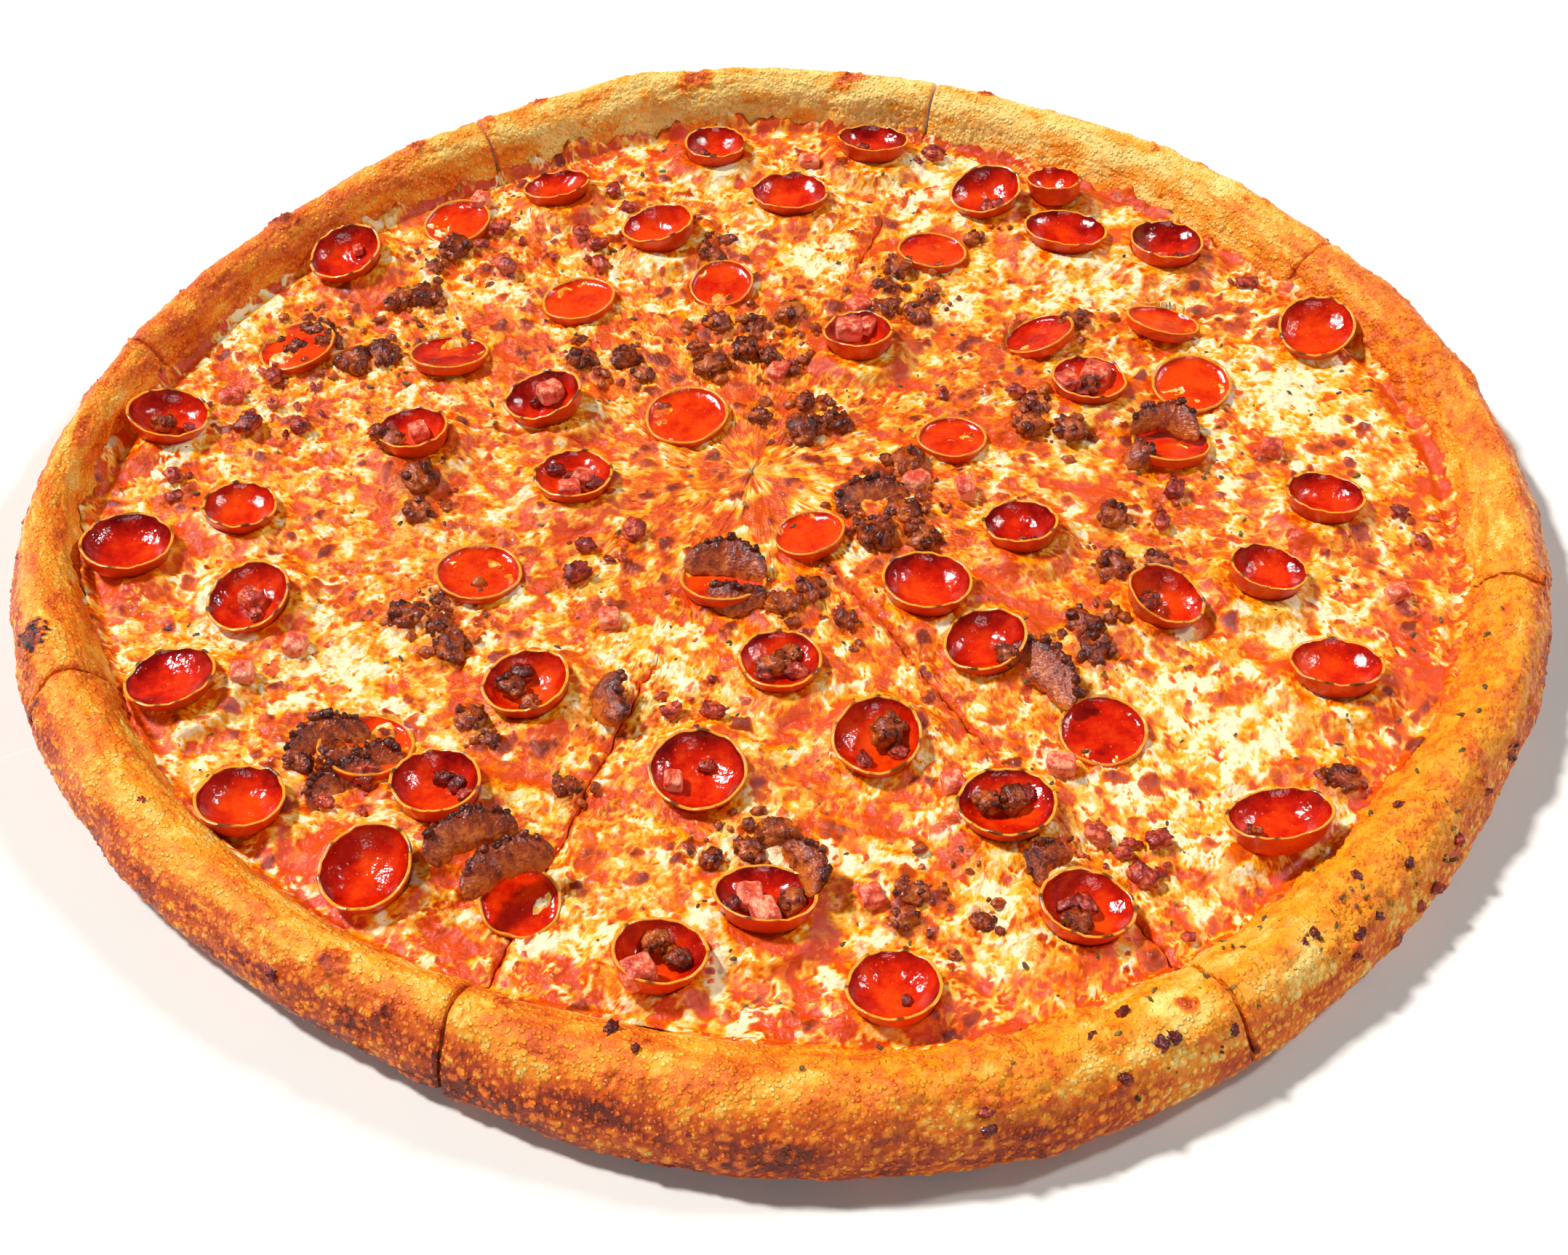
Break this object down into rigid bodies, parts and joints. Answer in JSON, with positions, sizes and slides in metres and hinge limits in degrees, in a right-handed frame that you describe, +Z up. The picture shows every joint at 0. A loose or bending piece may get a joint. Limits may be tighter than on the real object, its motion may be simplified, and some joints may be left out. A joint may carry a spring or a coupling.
{
  "type": "pizza",
  "caption": "Large round pizza cut into wedges, with a puffy golden crust, melted cheese, cupped pepperoni, crumbled sausage, bacon bits and diced ham.",
  "frame": {"origin": "middle of the flat underside, on the surface that the pizza rests on", "axes": "+Z up through the thickness, -Y towards the pictured front, +X to the right of that view"},
  "size_m": [0.4635, 0.4643, 0.0276],
  "materials": {
    "crust": "baked dough, matte, golden to brown",
    "cheese": "melted cheese, oily gloss, cream to orange",
    "pepperoni": "oily cured sausage, red with browned rims",
    "sausage": "roasted minced meat, brown to charred"
  },
  "bodies": {
    "root": {"slice_1_crust": "crust", "slice_2_crust": "crust", "slice_3_crust": "crust", "slice_4_crust": "crust", "slice_5_crust": "crust", "slice_6_crust": "crust", "slice_7_crust": "crust", "slice_8_crust": "crust", "slice_1_cheese": "cheese", "slice_2_cheese": "cheese", "slice_3_cheese": "cheese", "slice_4_cheese": "cheese", "slice_5_cheese": "cheese", "slice_6_cheese": "cheese", "slice_7_cheese": "cheese", "slice_8_cheese": "cheese", "pepperoni_01": "pepperoni", "pepperoni_02": "pepperoni", "pepperoni_03": "pepperoni", "pepperoni_04": "pepperoni", "pepperoni_05": "pepperoni", "pepperoni_06": "pepperoni", "pepperoni_07": "pepperoni", "pepperoni_08": "pepperoni", "pepperoni_09": "pepperoni", "pepperoni_10": "pepperoni", "pepperoni_11": "pepperoni", "pepperoni_12": "pepperoni", "pepperoni_13": "pepperoni", "pepperoni_14": "pepperoni", "pepperoni_15": "pepperoni", "pepperoni_16": "pepperoni", "pepperoni_17": "pepperoni", "pepperoni_18": "pepperoni", "pepperoni_19": "pepperoni", "pepperoni_20": "pepperoni", "pepperoni_21": "pepperoni", "pepperoni_22": "pepperoni", "pepperoni_23": "pepperoni", "pepperoni_24": "pepperoni", "pepperoni_25": "pepperoni", "pepperoni_26": "pepperoni", "pepperoni_27": "pepperoni", "pepperoni_28": "pepperoni", "pepperoni_29": "pepperoni", "pepperoni_30": "pepperoni", "pepperoni_31": "pepperoni", "pepperoni_32": "pepperoni", "pepperoni_33": "pepperoni", "pepperoni_34": "pepperoni", "pepperoni_35": "pepperoni", "pepperoni_36": "pepperoni", "pepperoni_37": "pepperoni", "pepperoni_38": "pepperoni", "pepperoni_39": "pepperoni", "pepperoni_40": "pepperoni", "pepperoni_41": "pepperoni", "sausage_1": "sausage", "sausage_2": "sausage", "sausage_3": "sausage"}
  },
  "joints": []
}
